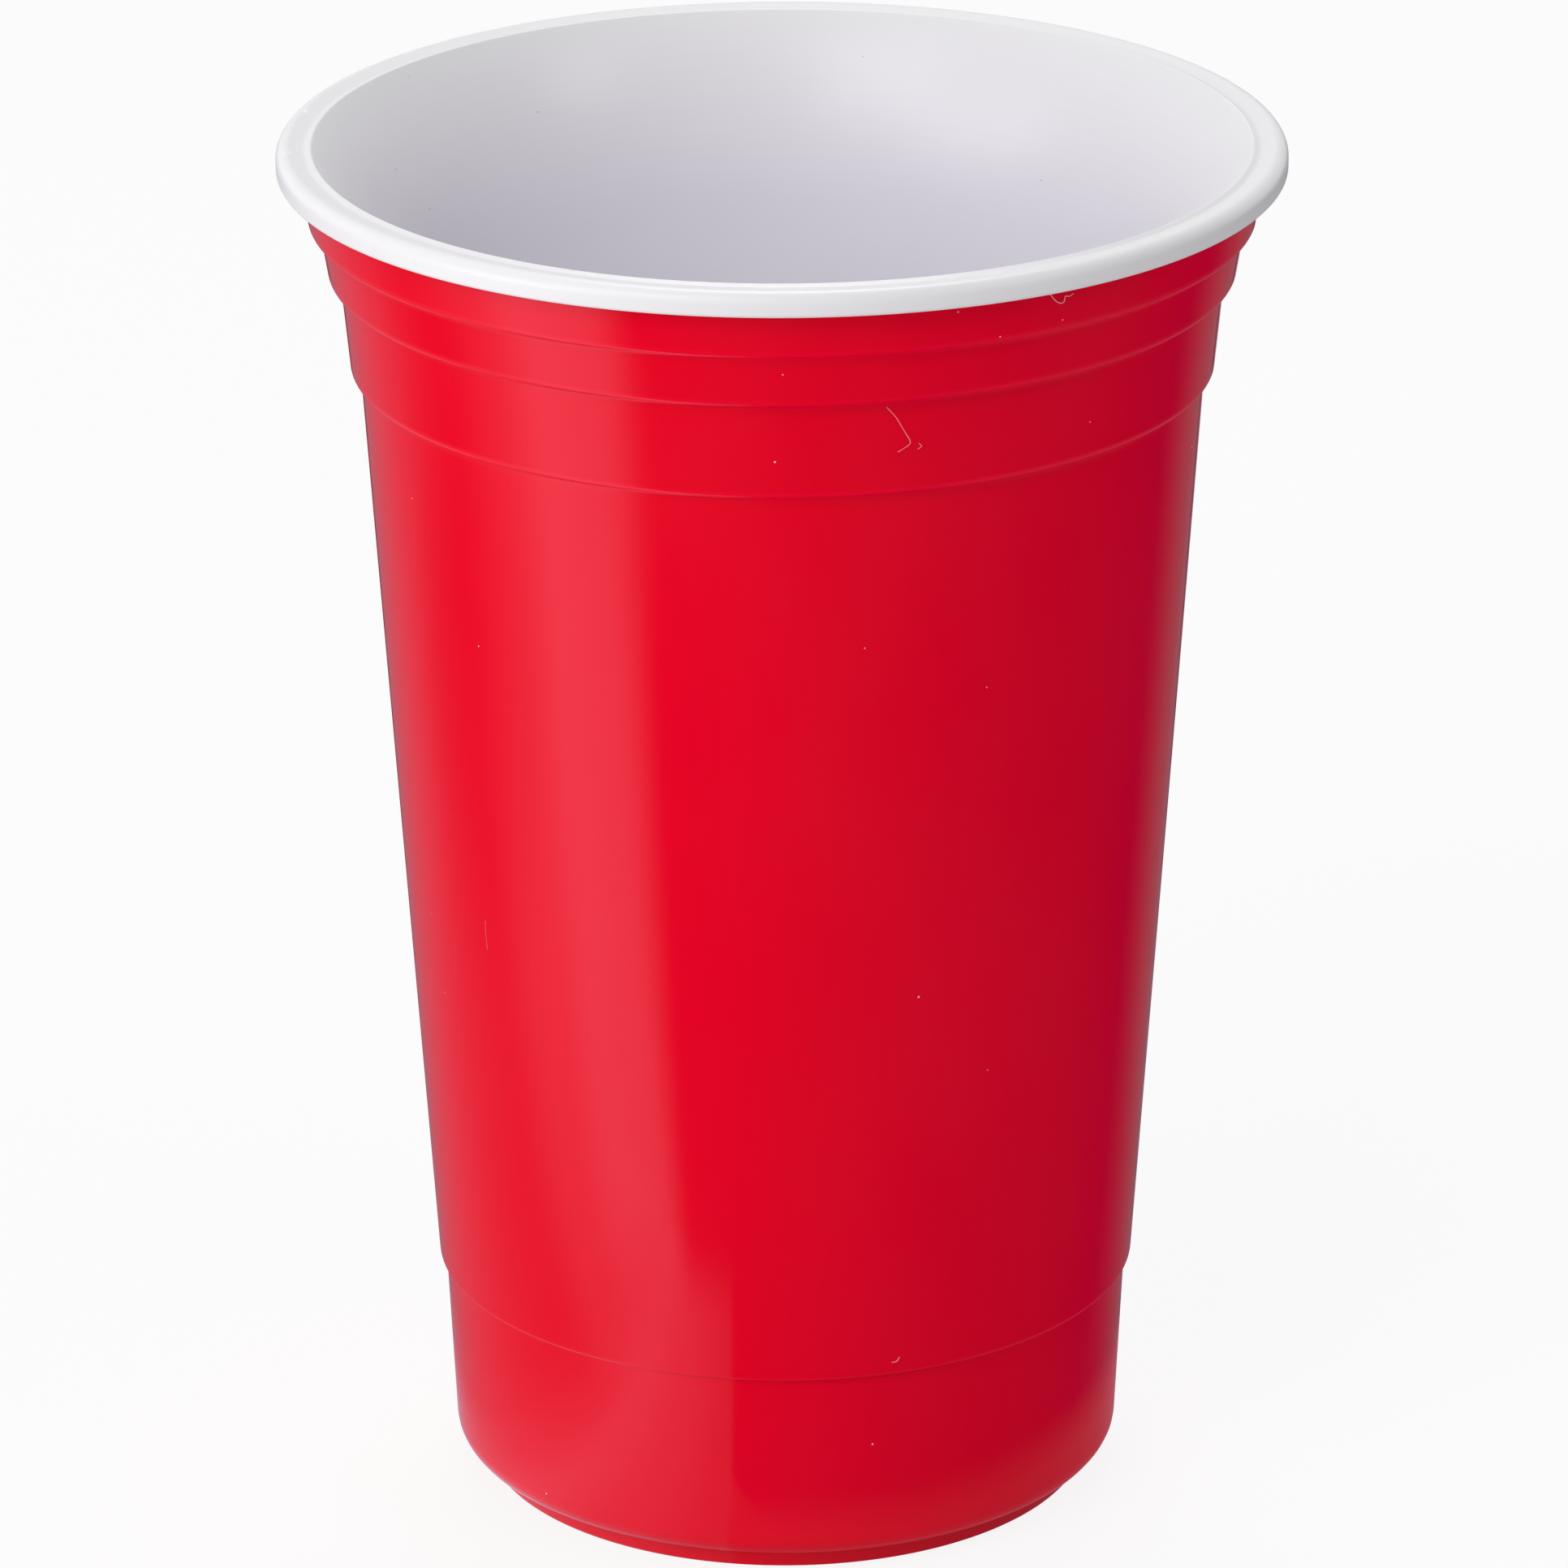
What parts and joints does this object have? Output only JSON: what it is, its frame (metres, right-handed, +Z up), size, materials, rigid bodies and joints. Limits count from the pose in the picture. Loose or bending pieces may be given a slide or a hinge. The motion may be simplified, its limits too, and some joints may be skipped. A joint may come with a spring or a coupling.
{
  "type": "double wall tumbler",
  "caption": "Tapered drinking tumbler with a stepped, glossy outer shell, a foot ring, and a smooth white inner liner whose thick rim laps over the shell.",
  "frame": {"origin": "centre of the foot ring's resting plane", "axes": "+Z up along the cup's axis, from the foot to the rim"},
  "size_m": [0.095, 0.095, 0.134],
  "materials": {
    "shell_red": "smooth moulded gloss",
    "liner_white": "smooth moulded gloss"
  },
  "bodies": {
    "root": {"outer_shell": "shell_red", "inner_liner": "liner_white"}
  },
  "joints": []
}
